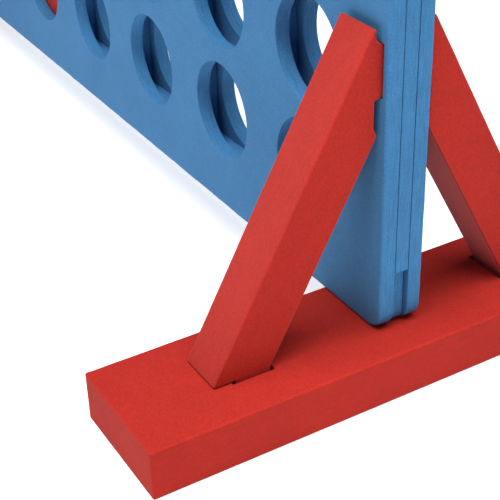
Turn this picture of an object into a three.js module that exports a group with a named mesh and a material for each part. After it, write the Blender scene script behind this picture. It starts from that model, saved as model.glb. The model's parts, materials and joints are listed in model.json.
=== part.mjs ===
// Giant four in a row, cut from EVA foam sheet. Millimetres, +Z up.
// Origin: on the floor, under the middle of the board. +X runs along the board, -Y faces the front player.
import * as THREE from 'three';

// Grid of holes
const COLUMNS = 7;
const ROWS = 6;
const COLUMN_PITCH = 100;
const ROW_PITCH = 75;
const HOLE_DIAMETER = 64;
const HOLE_SIDES = 20;
const FIRST_HOLE_LEVEL = 70;

// Board: three layers cut from one sheet, the middle one made of upright strips
const BOARD_LENGTH = 750;
const BOARD_HEIGHT = 500;
const SHEET = 9.5;
const SEAM = 0.5;
const BOARD_CORNER_RADIUS = 11;
const CORNER_STEPS = 8;
const DIVIDER_WIDTH = 24;

// Discs
const DISC_THICKNESS = 8;
const DISC_SIDES = 32;

// Release bar: closes the columns from below
const BAR_HEIGHT = 36;
const BAR_END_INSET = 3.5;
const BAR_PULL_LENGTH = 20;
const BAR_PULL_RADIUS = 8;

// Feet
const FOOT_WIDTH = 79;
const FOOT_LENGTH = 340;
const FOOT_THICKNESS = 31;
const FOOT_OVERHANG = 22;

// Struts, measured outwards from the board's face and up from the foot's top
const STRUT_THICKNESS = 30;
const STRUT_END_MARGIN = 5.5;
const STRUT_SLOPE = 1.81;
const STRUT_TOE = 104.6;
const STRUT_HEEL = 68.6;
const STRUT_TOP = 183;

// Upper tenon of a strut and the relief cuts above and below it
const UPPER_TENON_TOP = 171.9;
const UPPER_TENON_HEIGHT = 29;
const RELIEF_TOP = 175;
const RELIEF_ROOT = 141.4;
const RELIEF_BOTTOM = 126;
const RELIEF_DEPTH = 3.6;
const TIP_TOP = 123;
const TIP_CLEARANCE = 1.9;

// Lower tenon of a strut, from its heel outwards
const LOWER_TENON_OUTER = 90;
const LOWER_TENON_LENGTH = 28;

// Play
const TOUCH_GAP = 0.3;
const MORTISE_SIDE_PLAY = 1.2;
const FOOT_MORTISE_END_PLAY = 2.5;

// Levels and places worked out from the dimensions above
const BOARD_BOTTOM = FOOT_THICKNESS + TOUCH_GAP;
const BOARD_TOP = BOARD_BOTTOM + BOARD_HEIGHT;
const BOARD_THICKNESS = 3 * SHEET;
const STRIP_THICKNESS = SHEET - 2 * SEAM;
const BAR_THICKNESS = STRIP_THICKNESS;
const BAR_BOTTOM = BOARD_BOTTOM;
const BAR_TOP = BAR_BOTTOM + BAR_HEIGHT;
const STRIP_BOTTOM = BAR_TOP + TOUCH_GAP;
const STRIP_HEIGHT = BOARD_TOP - STRIP_BOTTOM;
const DISC_DIAMETER = ROW_PITCH - TOUCH_GAP;
const FIRST_ROW_LEVEL = BAR_TOP + TOUCH_GAP + DISC_DIAMETER / 2;
const CHANNEL_WIDTH = COLUMN_PITCH - DIVIDER_WIDTH;
const END_SPACER_WIDTH = (BOARD_LENGTH - (COLUMNS - 1) * COLUMN_PITCH - CHANNEL_WIDTH) / 2;
const STRUT_OFFSET = BOARD_LENGTH / 2 - STRUT_END_MARGIN - STRUT_THICKNESS / 2;
const FOOT_OFFSET = BOARD_LENGTH / 2 + FOOT_OVERHANG - FOOT_WIDTH / 2;

// Discs in play, from the bottom of each column upwards: R is red and Y is yellow
const GAME = ['YR', 'YRR', 'RYRY'];
const DISC_COLOURS = { R: 'red', Y: 'yellow' };

const FOAM_COLOURS = { blue: 0x5287b8, red: 0xc83c36, yellow: 0xf0c02c };

function foam(colour) {
  return new THREE.MeshStandardMaterial({
    color: FOAM_COLOURS[colour],
    roughness: 0.85,
    metalness: 0,
  });
}

function extrude(shape, depth, curveSegments = CORNER_STEPS) {
  return new THREE.ExtrudeGeometry(shape, { depth, bevelEnabled: false, curveSegments });
}

// A piece drawn in the X-Z plane, with its thickness centred on y = middle.
function uprightPiece(name, shape, thickness, middle, colour, curveSegments) {
  const mesh = new THREE.Mesh(extrude(shape, thickness, curveSegments), foam(colour));
  mesh.name = name;
  mesh.rotation.x = Math.PI / 2;
  mesh.position.y = middle + thickness / 2;
  return mesh;
}

function columnX(column) {
  return (column - (COLUMNS - 1) / 2) * COLUMN_PITCH;
}

function rowZ(row) {
  return FIRST_ROW_LEVEL + row * ROW_PITCH;
}

// The view holes sit a little lower than the discs behind them.
function holeZ(row) {
  return BOARD_BOTTOM + FIRST_HOLE_LEVEL + row * ROW_PITCH;
}

// A rectangle with its own radius at each corner, anticlockwise from the lower left. Zero is square.
function roundedRectangle(x0, y0, x1, y1, [lowerLeft, lowerRight, upperRight, upperLeft]) {
  const shape = new THREE.Shape();
  const quarter = Math.PI / 2;
  const corners = [
    [x1, y0, lowerRight, -1, 1, -quarter],
    [x1, y1, upperRight, -1, -1, 0],
    [x0, y1, upperLeft, 1, -1, quarter],
    [x0, y0, lowerLeft, 1, 1, 2 * quarter],
  ];
  shape.moveTo(x0 + lowerLeft, y0);
  for (const [x, y, radius, inX, inY, start] of corners) {
    if (radius > 0) {
      shape.absarc(x + inX * radius, y + inY * radius, radius, start, start + quarter);
    } else {
      shape.lineTo(x, y);
    }
  }
  shape.closePath();
  return shape;
}

function polygonHole(x, y, radius, sides) {
  const hole = new THREE.Path();
  for (let side = 0; side < sides; side += 1) {
    const angle = (-2 * Math.PI * side) / sides;
    const point = [x + radius * Math.cos(angle), y + radius * Math.sin(angle)];
    if (side === 0) {
      hole.moveTo(...point);
    } else {
      hole.lineTo(...point);
    }
  }
  hole.closePath();
  return hole;
}

function rectangularHole(x, y, width, height) {
  const hole = new THREE.Path();
  hole.moveTo(x - width / 2, y - height / 2);
  hole.lineTo(x - width / 2, y + height / 2);
  hole.lineTo(x + width / 2, y + height / 2);
  hole.lineTo(x + width / 2, y - height / 2);
  hole.closePath();
  return hole;
}

// Front or back face of the board: its view holes, and a mortise near each end for a strut.
function panel(name, middle) {
  const half = BOARD_LENGTH / 2;
  const radii = Array(4).fill(BOARD_CORNER_RADIUS);
  const shape = roundedRectangle(-half, BOARD_BOTTOM, half, BOARD_TOP, radii);
  for (let column = 0; column < COLUMNS; column += 1) {
    for (let row = 0; row < ROWS; row += 1) {
      shape.holes.push(polygonHole(columnX(column), holeZ(row), HOLE_DIAMETER / 2, HOLE_SIDES));
    }
  }
  const mortiseLevel = FOOT_THICKNESS + UPPER_TENON_TOP - UPPER_TENON_HEIGHT / 2;
  const mortiseWidth = STRUT_THICKNESS + 2 * MORTISE_SIDE_PLAY;
  const mortiseHeight = UPPER_TENON_HEIGHT + 2 * TOUCH_GAP;
  for (const side of [-1, 1]) {
    shape.holes.push(rectangularHole(side * STRUT_OFFSET, mortiseLevel, mortiseWidth, mortiseHeight));
  }
  return uprightPiece(name, shape, SHEET, middle, 'blue');
}

// An upright strip of the middle layer, from the release bar to the top of the board.
function strip(name, x, width, radii = [0, 0, 0, 0]) {
  const top = STRIP_BOTTOM + STRIP_HEIGHT;
  const shape = roundedRectangle(x - width / 2, STRIP_BOTTOM, x + width / 2, top, radii);
  return uprightPiece(name, shape, STRIP_THICKNESS, 0, 'blue');
}

function columnDividers() {
  const dividers = [];
  for (let gap = 0; gap < COLUMNS - 1; gap += 1) {
    dividers.push(strip(`column_divider_${gap + 1}`, columnX(gap) + COLUMN_PITCH / 2, DIVIDER_WIDTH));
  }
  return dividers;
}

function endSpacers() {
  const centre = (BOARD_LENGTH - END_SPACER_WIDTH) / 2;
  return [
    strip('end_spacer_left', -centre, END_SPACER_WIDTH, [0, 0, 0, BOARD_CORNER_RADIUS]),
    strip('end_spacer_right', centre, END_SPACER_WIDTH, [0, 0, BOARD_CORNER_RADIUS, 0]),
  ];
}

// The bar lies against the front face and stands out at the left end, where it is pulled.
function releaseBar() {
  const left = -BOARD_LENGTH / 2 - BAR_PULL_LENGTH;
  const right = BOARD_LENGTH / 2 - BAR_END_INSET;
  const insetRadius = BOARD_CORNER_RADIUS - BAR_END_INSET;
  const radii = [BAR_PULL_RADIUS, insetRadius, 0, BAR_PULL_RADIUS];
  const shape = roundedRectangle(left, BAR_BOTTOM, right, BAR_TOP, radii);
  const middle = -SHEET / 2 + TOUCH_GAP + BAR_THICKNESS / 2;
  return uprightPiece('release_bar', shape, BAR_THICKNESS, middle, 'blue');
}

function disc(column, row, colour) {
  const shape = new THREE.Shape();
  shape.absarc(columnX(column), rowZ(row), DISC_DIAMETER / 2, 0, 2 * Math.PI);
  const name = `${colour}_disc_column_${column + 1}_row_${row + 1}`;
  return uprightPiece(name, shape, DISC_THICKNESS, 0, colour, DISC_SIDES / 2);
}

function discsInPlay() {
  return GAME.flatMap((stack, column) =>
    [...stack].map((letter, row) => disc(column, row, DISC_COLOURS[letter])),
  );
}

// A foot lies across the board's end, with a mortise for the strut in front of it and one behind.
function foot(name, end) {
  const shape = new THREE.Shape();
  shape.moveTo(-FOOT_WIDTH / 2, -FOOT_LENGTH / 2);
  shape.lineTo(FOOT_WIDTH / 2, -FOOT_LENGTH / 2);
  shape.lineTo(FOOT_WIDTH / 2, FOOT_LENGTH / 2);
  shape.lineTo(-FOOT_WIDTH / 2, FOOT_LENGTH / 2);
  shape.closePath();
  const mortiseMiddle = BOARD_THICKNESS / 2 + (LOWER_TENON_OUTER + STRUT_HEEL) / 2;
  const mortiseLength = LOWER_TENON_OUTER - STRUT_HEEL + 2 * FOOT_MORTISE_END_PLAY;
  const mortiseWidth = STRUT_THICKNESS + 2 * MORTISE_SIDE_PLAY;
  const mortiseX = end * (STRUT_OFFSET - FOOT_OFFSET);
  for (const side of [-1, 1]) {
    shape.holes.push(rectangularHole(mortiseX, side * mortiseMiddle, mortiseWidth, mortiseLength));
  }
  const mesh = new THREE.Mesh(extrude(shape, FOOT_THICKNESS), foam('red'));
  mesh.name = name;
  mesh.position.x = end * FOOT_OFFSET;
  return mesh;
}

// Side view of a strut: x is the distance out from the board's face, y the height over the foot's top.
function strutOutline() {
  const seat = TOUCH_GAP;
  const upperFace = (STRUT_TOE * STRUT_SLOPE - STRUT_TOP) / STRUT_SLOPE;
  const tip = (STRUT_HEEL - TIP_CLEARANCE) * STRUT_SLOPE;
  const tenonBottom = UPPER_TENON_TOP - UPPER_TENON_HEIGHT;
  const tenonDepth = SHEET - TOUCH_GAP;
  return new THREE.Shape([
    new THREE.Vector2(STRUT_TOE, seat),
    new THREE.Vector2(upperFace, STRUT_TOP),
    new THREE.Vector2(upperFace, RELIEF_TOP),
    new THREE.Vector2(TOUCH_GAP, UPPER_TENON_TOP),
    new THREE.Vector2(-tenonDepth, UPPER_TENON_TOP),
    new THREE.Vector2(-tenonDepth, tenonBottom),
    new THREE.Vector2(TOUCH_GAP, tenonBottom),
    new THREE.Vector2(RELIEF_DEPTH, RELIEF_ROOT),
    new THREE.Vector2(RELIEF_DEPTH, RELIEF_BOTTOM),
    new THREE.Vector2(TIP_CLEARANCE, TIP_TOP),
    new THREE.Vector2(TIP_CLEARANCE, tip),
    new THREE.Vector2(STRUT_HEEL, seat),
    new THREE.Vector2(STRUT_HEEL, -LOWER_TENON_LENGTH),
    new THREE.Vector2(LOWER_TENON_OUTER, -LOWER_TENON_LENGTH),
    new THREE.Vector2(LOWER_TENON_OUTER, seat),
  ]);
}

// A strut leans on the board's face: facing is -1 on the front and 1 on the back.
function strut(name, x, facing) {
  const holder = new THREE.Group();
  holder.position.set(x, (facing * BOARD_THICKNESS) / 2, FOOT_THICKNESS);
  holder.rotation.z = (facing * Math.PI) / 2;
  holder.add(uprightPiece(name, strutOutline(), STRUT_THICKNESS, 0, 'red'));
  return holder;
}

const fourInARow = new THREE.Group();
const faceMiddle = (BOARD_THICKNESS - SHEET) / 2;
fourInARow.add(panel('front_panel', -faceMiddle), panel('back_panel', faceMiddle));
fourInARow.add(...endSpacers(), ...columnDividers(), releaseBar(), ...discsInPlay());
for (const [end, side] of [['left', -1], ['right', 1]]) {
  fourInARow.add(foot(`foot_${end}`, side));
  fourInARow.add(strut(`strut_front_${end}`, side * STRUT_OFFSET, -1));
  fourInARow.add(strut(`strut_back_${end}`, side * STRUT_OFFSET, 1));
}

export default fourInARow;
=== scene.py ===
"""Giant four in a row in EVA foam: board, stand, release bar and discs. Metres, +Z up, in the CAD frame."""
import json
import math

import bmesh
import bpy
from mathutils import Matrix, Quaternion, Vector, noise


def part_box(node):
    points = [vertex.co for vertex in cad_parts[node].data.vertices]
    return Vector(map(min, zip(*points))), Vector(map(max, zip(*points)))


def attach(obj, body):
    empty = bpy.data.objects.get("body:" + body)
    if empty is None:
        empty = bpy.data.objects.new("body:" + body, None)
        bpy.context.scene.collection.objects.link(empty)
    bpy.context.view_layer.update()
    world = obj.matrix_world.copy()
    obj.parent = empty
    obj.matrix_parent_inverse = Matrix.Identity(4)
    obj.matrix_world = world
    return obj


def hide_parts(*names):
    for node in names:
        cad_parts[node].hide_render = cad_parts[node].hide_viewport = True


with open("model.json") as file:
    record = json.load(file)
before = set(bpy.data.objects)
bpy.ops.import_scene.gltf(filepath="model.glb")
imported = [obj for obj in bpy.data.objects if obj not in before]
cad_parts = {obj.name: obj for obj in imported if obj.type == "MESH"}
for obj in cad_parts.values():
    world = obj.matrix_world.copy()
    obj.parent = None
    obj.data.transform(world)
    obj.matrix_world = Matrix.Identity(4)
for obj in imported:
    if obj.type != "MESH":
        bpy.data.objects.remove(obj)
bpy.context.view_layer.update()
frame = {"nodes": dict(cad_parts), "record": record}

MM = 0.001

# Camera, placed from the lower front corner of the board's right end
CAMERA_AZIMUTH = math.radians(60.2)
CAMERA_ELEVATION = math.radians(31.6)
CAMERA_ROLL = math.radians(-1.76)
CAMERA_FROM_CORNER = (0.4479, -0.3386, 0.4004)
CAMERA_LENS_MM = 87.3
CAMERA_SENSOR_MM = 36
CAMERA_NEAREST = 0.01
CAMERA_FARTHEST = 50

# Studio: each lamp's name, its direction from the point it is aimed at and its power in watts
LAMPS = (
    ("front_left_lamp", (-0.8, -1, 0.8), 7.5),
    ("right_lamp", (1, 0, 0.5), 5.5),
    ("top_front_lamp", (0, -1, 2.4), 38),
    ("top_right_lamp", (1, 0, 3), 39),
    ("back_lamp", (0.1, 1, 1.3), 17),
)
LAMP_DISTANCE = 2.4
LAMP_SIZE = 1.6
AIM_ALONG_RIGHT_HALF = 2 / 3
AIM_UP_BOARD = 1 / 4
WORLD_STRENGTH = 0.03

# Floor. Its faint glow keeps it white, as a lit backdrop is
FLOOR_HALF_SIZE = 4
FLOOR_WHITE = 0.95
FLOOR_ROUGHNESS = 0.9
FLOOR_SPECULAR = 0.1
FLOOR_GLOW = 0.4

# Radii of the edges, by the kind of piece, and how unevenly they are worn
BLOCK_EDGE = 0.9 * MM
SHEET_EDGE = 1.9 * MM
DISC_EDGE = 0.9 * MM
STRIP_EDGE = 0.35 * MM
GLUED_EDGE = 0.25 * MM
HOLE_EDGE = 0.5 * MM
EDGE_STEPS = 4
EDGE_UNEVENNESS = 0.3
EDGE_WAVE = 9 * MM
LONGEST_SIDE_PIECE = 6 * MM
LEAST_MITRE = 0.5

# How far large faces keep their own normal where edges are smoothed: 50 is evenly and 100 is fully
FLAT_FACE_WEIGHT = 100

# Corners of the outlines: outer ones are as round as their edges, inner ones as sharp as the blade left them
OUTER_CORNER_PER_EDGE = 1.3
INNER_CORNER = 0.6 * MM
CORNER_STEPS = 5
CORNER_SHARE_OF_SIDE = 0.45
SHARP_TURN = math.radians(20)

# Reading the outlines of the CAD pieces
WELD_DISTANCE = 0.001 * MM
CAP_NORMAL = 0.99
CAP_TOLERANCE = 0.01 * MM
STRAIGHT_TURN = math.radians(0.5)
ROUND_SIDES = 112
ROUND_TOLERANCE = 0.02 * MM
MIN_ROUND_SIDES = 16

# Mesh faces are sorted into these parts of a piece, which are also its material slots
SKIN, CUT, EDGE = range(3)

# Axes through a piece's thickness
X_AXIS, Y_AXIS, Z_AXIS = range(3)

# Noise in the foam: size, detail and crispness of each kind. The pores have their own size on each surface
CLOUDS = (45 * MM, 3, 0.5)
BLOTCHES = (6 * MM, 2, 0.5)
BLADE_STREAKS = (0.9 * MM, 2, 0.6)
PORE_CHARACTER = (2, 0.65)
SKIN_PORE_SIZE = 1.3 * MM
CUT_PORE_SIZE = 1 * MM
EDGE_PORE_SIZE = 1.1 * MM
STREAK_STRETCH = 0.08
NOISE_SPAN = (0.3, 0.7)

# Foam surface. The relief of the dents and of the pores is a strength and a depth
CLOUD_SHADE = 0.05
BLOTCH_SHADE = 0.03
DENT_RELIEF = (0.3, 0.5 * MM)
PORE_RELIEF = (0.45, 0.25 * MM)
ROUGHNESS_SPAN = (0.82, 0.98)
SPECULAR = 0.12
SKIN_SHEEN = 0.05
SHEEN_ROUGHNESS = 0.5
# Painted shade on edges that face down: how dark it gets, and over what span of the normal's Z it fades in
UNDERSIDE_PAINTED_SHADE = 0.25
UNDERSIDE_PAINTED_SHADE_FADE = 0.5

# Finish of a piece, by the axis through its sheet: struts, then the board's layers and the discs, then feet.
# "grain" is how much the pores change the shade, and "streaks" how much the blade does on sawn sides. "cut"
# and "edge" scale the colour of sawn sides and rounded edges. These are painted light and shade: sawn sides
# are lighter on the struts and darker on the feet, and the edges carry a painted highlight. "sheen" is the
# haze on both. The last number is the highest Z of the normal where an edge starts to carry painted shade.
FINISHES = {
    X_AXIS: {"grain": 0.15, "streaks": 0.06, "cut": 1.08, "sheen": 0.16, "edge": 1.12, "painted_shade_from": -0.1},
    Y_AXIS: {"grain": 0.13, "streaks": 0.12, "cut": 1, "sheen": 0, "edge": 1.03, "painted_shade_from": -0.45},
    Z_AXIS: {"grain": 0.15, "streaks": 0.06, "cut": 0.93, "sheen": 0.03, "edge": 1.12, "painted_shade_from": -0.1},
}

BLUE = (0.056, 0.205, 0.425)
RED = (0.445, 0.0235, 0.0155)
YELLOW = (0.9, 0.56, 0.028)
FOAM_COLOURS = {
    "board_foam": BLUE,
    "stand_foam": RED,
    "red_disc_foam": RED,
    "yellow_disc_foam": YELLOW,
}


def add_object(name, data):
    added = bpy.data.objects.new(name, data)
    bpy.context.scene.collection.objects.link(added)
    return added


# ---------------------------------------------------------------- camera, floor and light

def add_camera():
    corner_low, corner_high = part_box("front_panel")
    corner = Vector((corner_high.x, corner_low.y, corner_low.z))
    forward = Vector((
        -math.sin(CAMERA_AZIMUTH) * math.cos(CAMERA_ELEVATION),
        math.cos(CAMERA_AZIMUTH) * math.cos(CAMERA_ELEVATION),
        -math.sin(CAMERA_ELEVATION),
    ))
    data = bpy.data.cameras.new("camera")
    data.lens = CAMERA_LENS_MM
    data.sensor_width = CAMERA_SENSOR_MM
    data.clip_start = CAMERA_NEAREST
    data.clip_end = CAMERA_FARTHEST
    camera = add_object("camera", data)
    camera.location = corner + Vector(CAMERA_FROM_CORNER)
    camera.rotation_mode = "QUATERNION"
    roll = Quaternion((0, 0, 1), CAMERA_ROLL)
    camera.rotation_quaternion = forward.to_track_quat("-Z", "Y") @ roll
    bpy.context.scene.camera = camera


def floor_material():
    material = bpy.data.materials.new("floor_white")
    material.use_nodes = True
    shader = material.node_tree.nodes["Principled BSDF"]
    shader.inputs["Base Color"].default_value = (FLOOR_WHITE, FLOOR_WHITE, FLOOR_WHITE, 1)
    shader.inputs["Roughness"].default_value = FLOOR_ROUGHNESS
    shader.inputs["Specular IOR Level"].default_value = FLOOR_SPECULAR
    shader.inputs["Emission Color"].default_value = (1, 1, 1, 1)
    shader.inputs["Emission Strength"].default_value = FLOOR_GLOW
    return material


def add_floor():
    mesh = bpy.data.meshes.new("floor")
    bm = bmesh.new()
    corner_signs = ((-1, -1), (1, -1), (1, 1), (-1, 1))
    bm.faces.new([bm.verts.new((x * FLOOR_HALF_SIZE, y * FLOOR_HALF_SIZE, 0)) for x, y in corner_signs])
    bm.to_mesh(mesh)
    bm.free()
    mesh.materials.append(floor_material())
    floor = add_object("floor", mesh)


def add_lamp(name, location, target, watts):
    data = bpy.data.lights.new(name, "AREA")
    data.shape = "DISK"
    data.size = LAMP_SIZE
    data.energy = watts
    lamp = add_object(name, data)
    lamp.location = location
    lamp.rotation_mode = "QUATERNION"
    lamp.rotation_quaternion = (target - location).to_track_quat("-Z", "Y")


def add_light():
    """Soft studio light: large lamps above, in front and behind, all aimed at the board's right half."""
    world = bpy.data.worlds.new("studio")
    world.use_nodes = True
    background = world.node_tree.nodes["Background"]
    background.inputs["Color"].default_value = (1, 1, 1, 1)
    background.inputs["Strength"].default_value = WORLD_STRENGTH
    bpy.context.scene.world = world
    board_low, board_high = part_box("front_panel")
    target = Vector((board_high.x * AIM_ALONG_RIGHT_HALF, 0, (board_low.z + board_high.z) * AIM_UP_BOARD))
    for name, direction, watts in LAMPS:
        offset = Vector(direction).normalized() * LAMP_DISTANCE
        add_lamp(name, target + offset, target, watts)
    bpy.context.scene.view_settings.view_transform = "Standard"


# ---------------------------------------------------------------- materials

def add_noise(tree, vector, size, detail, crispness):
    """Noise whose features are about as large as the size given."""
    node = tree.nodes.new("ShaderNodeTexNoise")
    node.inputs["Scale"].default_value = 1 / size
    node.inputs["Detail"].default_value = detail
    node.inputs["Roughness"].default_value = crispness
    tree.links.new(vector, node.inputs["Vector"])
    return node.outputs["Fac"]


def add_range(tree, value, low, high, to_low, to_high):
    node = tree.nodes.new("ShaderNodeMapRange")
    node.inputs["From Min"].default_value = low
    node.inputs["From Max"].default_value = high
    node.inputs["To Min"].default_value = to_low
    node.inputs["To Max"].default_value = to_high
    tree.links.new(value, node.inputs["Value"])
    return node.outputs["Result"]


def add_shade(tree, value, depth):
    """A shade made from noise, which goes the given depth over and under 1."""
    return add_range(tree, value, *NOISE_SPAN, 1 - depth, 1 + depth)


def add_multiply(tree, a, b):
    node = tree.nodes.new("ShaderNodeMath")
    node.operation = "MULTIPLY"
    tree.links.new(a, node.inputs[0])
    tree.links.new(b, node.inputs[1])
    return node.outputs["Value"]


def add_tint(tree, colour, shades):
    """The colour with every shade laid over it."""
    shade = shades[0]
    for other in shades[1:]:
        shade = add_multiply(tree, shade, other)
    tint = tree.nodes.new("ShaderNodeVectorMath")
    tint.operation = "SCALE"
    tint.inputs[0].default_value = colour
    tree.links.new(shade, tint.inputs["Scale"])
    return tint.outputs["Vector"]


def add_bump(tree, height, strength, distance, normal=None):
    node = tree.nodes.new("ShaderNodeBump")
    node.inputs["Strength"].default_value = strength
    node.inputs["Distance"].default_value = distance
    tree.links.new(height, node.inputs["Height"])
    if normal is not None:
        tree.links.new(normal, node.inputs["Normal"])
    return node.outputs["Normal"]


def add_place(tree, stretch=(1, 1, 1)):
    """A place on the piece, in metres, with each axis multiplied by its own number."""
    place = tree.nodes.new("ShaderNodeTexCoord").outputs["Object"]
    scaled = tree.nodes.new("ShaderNodeVectorMath")
    scaled.operation = "MULTIPLY"
    scaled.inputs[1].default_value = stretch
    tree.links.new(place, scaled.inputs[0])
    return scaled.outputs["Vector"]


def add_painted_underside_shade(tree, top):
    """Painted shade on edges that face down: a shade of 1 where the normal's Z is over the top value, less
    below.
    """
    normal = tree.nodes.new("ShaderNodeNewGeometry").outputs["Normal"]
    split = tree.nodes.new("ShaderNodeSeparateXYZ")
    tree.links.new(normal, split.inputs["Vector"])
    return add_range(tree, split.outputs["Z"], top - UNDERSIDE_PAINTED_SHADE_FADE, top, UNDERSIDE_PAINTED_SHADE, 1)


def foam_material(name, colour, axis, pore_size, grain, streaks, sheen, painted_shade_from=None):
    """Closed-cell foam: cloudy colour, pores, blade streaks along the sheet and a dry, matt surface.

    Given a level of the normal's Z, it also darkens the surface where it faces down: painted shade.
    """
    material = bpy.data.materials.new(name)
    material.use_nodes = True
    tree = material.node_tree
    shader = tree.nodes["Principled BSDF"]
    place = add_place(tree)
    along_sheet = [STREAK_STRETCH, STREAK_STRETCH, STREAK_STRETCH]
    along_sheet[axis] = 1

    clouds = add_noise(tree, place, *CLOUDS)
    blotches = add_noise(tree, place, *BLOTCHES)
    pores = add_noise(tree, place, pore_size, *PORE_CHARACTER)
    blade = add_noise(tree, add_place(tree, along_sheet), *BLADE_STREAKS)
    shades = [
        add_shade(tree, clouds, CLOUD_SHADE),
        add_shade(tree, blotches, BLOTCH_SHADE),
        add_shade(tree, pores, grain),
        add_shade(tree, blade, streaks),
    ]
    # painted shade where the surface faces down
    if painted_shade_from is not None:
        shades.append(add_painted_underside_shade(tree, painted_shade_from))
    tree.links.new(add_tint(tree, colour, shades), shader.inputs["Base Color"])

    roughness = add_range(tree, pores, *NOISE_SPAN, *ROUGHNESS_SPAN)
    tree.links.new(roughness, shader.inputs["Roughness"])
    dented = add_bump(tree, blotches, *DENT_RELIEF)
    tree.links.new(add_bump(tree, pores, *PORE_RELIEF, dented), shader.inputs["Normal"])
    shader.inputs["Specular IOR Level"].default_value = SPECULAR
    shader.inputs["Sheen Weight"].default_value = sheen
    shader.inputs["Sheen Roughness"].default_value = SHEEN_ROUGHNESS
    return material


def foam_materials(name, colour, axis):
    """Moulded skin, sawn side and rounded edge of one colour of foam, in the order of SKIN, CUT and EDGE.

    The sawn side carries painted light and shade by axis, and the edge a painted highlight and painted shade
    where it faces down.
    """
    finish = FINISHES[axis]
    grain, sheen = finish["grain"], finish["sheen"]
    # Sawn sides made lighter on struts and darker on feet, and edges made lighter: painted light, shade and
    # highlight
    painted_cut_colour = [c * finish["cut"] for c in colour]
    highlighted_edge_colour = [c * finish["edge"] for c in colour]
    return [
        foam_material(f"{name}_skin", colour, axis, SKIN_PORE_SIZE, grain, 0, SKIN_SHEEN),
        foam_material(f"{name}_cut", painted_cut_colour, axis, CUT_PORE_SIZE, grain, finish["streaks"], sheen),
        foam_material(f"{name}_edge", highlighted_edge_colour, axis, EDGE_PORE_SIZE, grain, 0, sheen, finish["painted_shade_from"]),
    ]


# ---------------------------------------------------------------- outlines taken from the CAD

def cap_loops(node, axis):
    """The closed outlines of a CAD prism's end, seen along one axis, as lists of 2-D points."""
    others = [i for i in range(3) if i != axis]
    bm = bmesh.new()
    bm.from_mesh(frame["nodes"][node].data)
    bmesh.ops.remove_doubles(bm, verts=bm.verts, dist=WELD_DISTANCE)
    facing = [f for f in bm.faces if f.normal[axis] > CAP_NORMAL]
    level = max(f.calc_center_median()[axis] for f in facing)
    cap = {f for f in facing if abs(f.calc_center_median()[axis] - level) < CAP_TOLERANCE}
    links = {}
    for edge in bm.edges:
        if sum(face in cap for face in edge.link_faces) == 1:
            a, b = edge.verts
            links.setdefault(a, []).append(b)
            links.setdefault(b, []).append(a)
    loops = []
    while links:
        here = min(links, key=lambda v: v.index)
        loop = []
        while here in links:
            loop.append(Vector([here.co[i] for i in others]))
            a, b = links.pop(here)
            here = a if a in links else b
        loops.append(drop_straight(loop))
    bm.free()
    return loops


def left_of(way):
    return Vector((-way.y, way.x))


def turn(loop, i):
    """Angle by which an outline turns at point i, to the left if positive."""
    before = loop[i] - loop[i - 1]
    after = loop[(i + 1) % len(loop)] - loop[i]
    return math.atan2(before.cross(after), before.dot(after))


def drop_straight(loop):
    """Leaves out the points where an outline goes straight on."""
    return [p for i, p in enumerate(loop) if abs(turn(loop, i)) > STRAIGHT_TURN]


def signed_area(loop):
    """Area inside an outline, positive if it runs anticlockwise."""
    return sum(loop[i - 1].cross(p) for i, p in enumerate(loop)) / 2


def foam_on_left(loops):
    """The largest outline first and then the holes in it, each run so that the foam is on its left."""
    ordered = sorted(loops, key=lambda loop: -abs(signed_area(loop)))
    for index, loop in enumerate(ordered):
        if (signed_area(loop) > 0) != (index == 0):
            loop.reverse()
    return ordered


def as_circle(loop):
    """A finer circle through the corners of a regular polygon, or None."""
    if len(loop) < MIN_ROUND_SIDES:
        return None
    centre = sum(loop, Vector((0, 0))) / len(loop)
    radii = [(p - centre).length for p in loop]
    if max(radii) - min(radii) > ROUND_TOLERANCE:
        return None
    radius = sum(radii) / len(radii)
    whole_turn = math.copysign(2 * math.pi, signed_area(loop))
    angles = [whole_turn * k / ROUND_SIDES for k in range(ROUND_SIDES)]
    return [centre + radius * Vector((math.cos(a), math.sin(a))) for a in angles]


def soften_corners(loop, outer_radius):
    """Rounds each sharp corner of an outline that has the foam on its left."""
    points = []
    for i, corner in enumerate(loop):
        angle = turn(loop, i)
        if abs(angle) < SHARP_TURN:
            points.append(corner)
            continue
        back, onward = loop[i - 1] - corner, loop[(i + 1) % len(loop)] - corner
        half_tangent = math.tan(abs(angle) / 2)
        reach = (outer_radius if angle > 0 else INNER_CORNER) * half_tangent
        reach = min(reach, CORNER_SHARE_OF_SIDE * back.length, CORNER_SHARE_OF_SIDE * onward.length)
        way = -back.normalized()
        to_centre = left_of(way) * math.copysign(reach / half_tangent, angle)
        centre = corner - way * reach + to_centre
        for k in range(CORNER_STEPS + 1):
            swing = angle * k / CORNER_STEPS
            points.append(centre - to_centre * math.cos(swing) - left_of(to_centre) * math.sin(swing))
    return points


def split_long_sides(loop):
    """Adds points along the straight sides, so that the rim can be uneven there too."""
    points = []
    for i, p in enumerate(loop):
        q = loop[(i + 1) % len(loop)]
        pieces = max(1, math.ceil((q - p).length / LONGEST_SIDE_PIECE))
        points += [p.lerp(q, k / pieces) for k in range(pieces)]
    return points


def cut_outline(loop, edge):
    """The outline as it is cut in foam with this edge radius: a true circle, or soft corners."""
    circle = as_circle(loop)
    if circle:
        return circle
    return split_long_sides(soften_corners(loop, OUTER_CORNER_PER_EDGE * edge))


def inward(loop):
    """For each point of an outline, the way and length that moves its sides inwards by one unit."""
    ways = []
    for i, p in enumerate(loop):
        before = (p - loop[i - 1]).normalized()
        after = (loop[(i + 1) % len(loop)] - p).normalized()
        side_a, side_b = left_of(before), left_of(after)
        middle = (side_a + side_b).normalized()
        ways.append(middle / max(LEAST_MITRE, middle.dot(side_a)))
    return ways


# ---------------------------------------------------------------- solids

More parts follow.
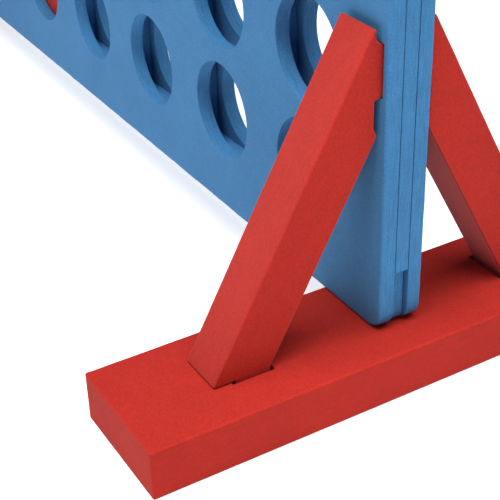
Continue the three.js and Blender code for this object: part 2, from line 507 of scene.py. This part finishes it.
def worn(place):
    """Share of the full edge radius at a place along an edge."""
    return 1 + EDGE_UNEVENNESS * noise.noise(Vector(place) / EDGE_WAVE)


def add_vertex(bm, axis, point, level):
    """A vertex at a 2-D point of an outline, at a level along the axis."""
    place = [point.x, point.y]
    place.insert(axis, level)
    return bm.verts.new(place)


def add_edge_rings(bm, axis, loop, side, level, edge):
    """Rings of vertices over the rounded edge round an outline, from its cap to its wall.

    The side is -1 for the low side of the sheet and 1 for the high one.
    """
    ways = inward(loop)
    radii = [edge * worn((*p, level)) for p in loop]
    rings = []
    for step in range(EDGE_STEPS + 1):
        angle = math.pi / 2 * (1 - step / EDGE_STEPS)
        ring = []
        for p, way, r in zip(loop, ways, radii):
            inset = r * (1 - math.cos(angle))
            ring.append(add_vertex(bm, axis, p + way * inset, level - side * r * (1 - math.sin(angle))))
        rings.append(ring)
    return rings


def add_wall(bm, axis, loop, levels, edges):
    """The wall round one outline, with its two rounded edges, and the two rings where its caps begin."""
    low_rings = add_edge_rings(bm, axis, loop, -1, levels[0], edges[0])
    high_rings = add_edge_rings(bm, axis, loop, 1, levels[1], edges[1])
    rings = low_rings + high_rings[::-1]
    for band in range(len(rings) - 1):
        here, onward = rings[band], rings[band + 1]
        for i in range(len(loop)):
            j = (i + 1) % len(loop)
            face = bm.faces.new((here[i], here[j], onward[j], onward[i]))
            face.material_index = CUT if band == EDGE_STEPS else EDGE
    return rings[0], rings[-1]


def add_cap(bm, rings):
    """The flat face between the rings of an outline and of the holes in it."""
    edges = [bm.edges.get((ring[i - 1], ring[i])) for ring in rings for i in range(len(ring))]
    filled = bmesh.ops.triangle_fill(bm, use_beauty=True, use_dissolve=False, edges=edges)
    for face in filled["geom"]:
        if isinstance(face, bmesh.types.BMFace):
            face.material_index = SKIN


def prism(name, node, axis, outline_edges, hole_edges):
    """Rebuilds a CAD prism as foam cut from a sheet: true circles, soft corners and worn, rounded edges.

    The edges are two radii, on the low and the high side of the sheet.
    """
    low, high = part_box(node)
    bm = bmesh.new()
    cap_rings = []
    for index, loop in enumerate(foam_on_left(cap_loops(node, axis))):
        edges = hole_edges if index else outline_edges
        outline = cut_outline(loop, max(edges))
        cap_rings.append(add_wall(bm, axis, outline, (low[axis], high[axis]), edges))
    for rings in zip(*cap_rings):
        add_cap(bm, rings)
    bmesh.ops.recalc_face_normals(bm, faces=bm.faces)
    mesh = bpy.data.meshes.new(name)
    bm.to_mesh(mesh)
    bm.free()
    mesh.shade_smooth()
    piece = add_object(name, mesh)
    normals = piece.modifiers.new("normals", "WEIGHTED_NORMAL")
    normals.mode = "FACE_AREA"
    normals.weight = FLAT_FACE_WEIGHT
    return piece


# ---------------------------------------------------------------- the game

def body_of_node(node):
    bodies = frame["record"]["behaviour"]["bodies"]
    return next(body for body, nodes in bodies.items() if node in nodes)


def slot_of_node(node):
    subparts = frame["record"]["subparts"]
    return next(part["material_slot"] for part in subparts if part["node"] == node)


def sheet_axis(node):
    """The axis through the thickness of the sheet that a piece is cut from."""
    if node.startswith("foot"):
        return Z_AXIS
    if node.startswith("strut"):
        return X_AXIS
    return Y_AXIS


def edges_of(node):
    """Edge radii on the low and the high side, for the outline and for the holes."""
    if node == "front_panel":
        return (SHEET_EDGE, GLUED_EDGE), (HOLE_EDGE, GLUED_EDGE)
    if node == "back_panel":
        return (GLUED_EDGE, SHEET_EDGE), (GLUED_EDGE, HOLE_EDGE)
    if "disc" in node:
        radius = DISC_EDGE
    elif "foot" in node or "strut" in node:
        radius = BLOCK_EDGE
    else:
        radius = STRIP_EDGE
    return (radius, radius), (HOLE_EDGE, HOLE_EDGE)


def add_foam_piece(node, materials):
    piece = prism(f"{node}_foam", node, sheet_axis(node), *edges_of(node))
    for material in materials:
        piece.data.materials.append(material)
    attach(piece, body_of_node(node))
    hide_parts(node)


def add_game():
    """Every piece of the game. Pieces of one slot and sheet axis share their three materials."""
    foams = {}
    for node in frame["nodes"]:
        slot, axis = slot_of_node(node), sheet_axis(node)
        if (slot, axis) not in foams:
            foams[slot, axis] = foam_materials(f"{slot}_{'xyz'[axis]}", FOAM_COLOURS[slot], axis)
        add_foam_piece(node, foams[slot, axis])


add_camera()
add_floor()
add_light()
add_game()
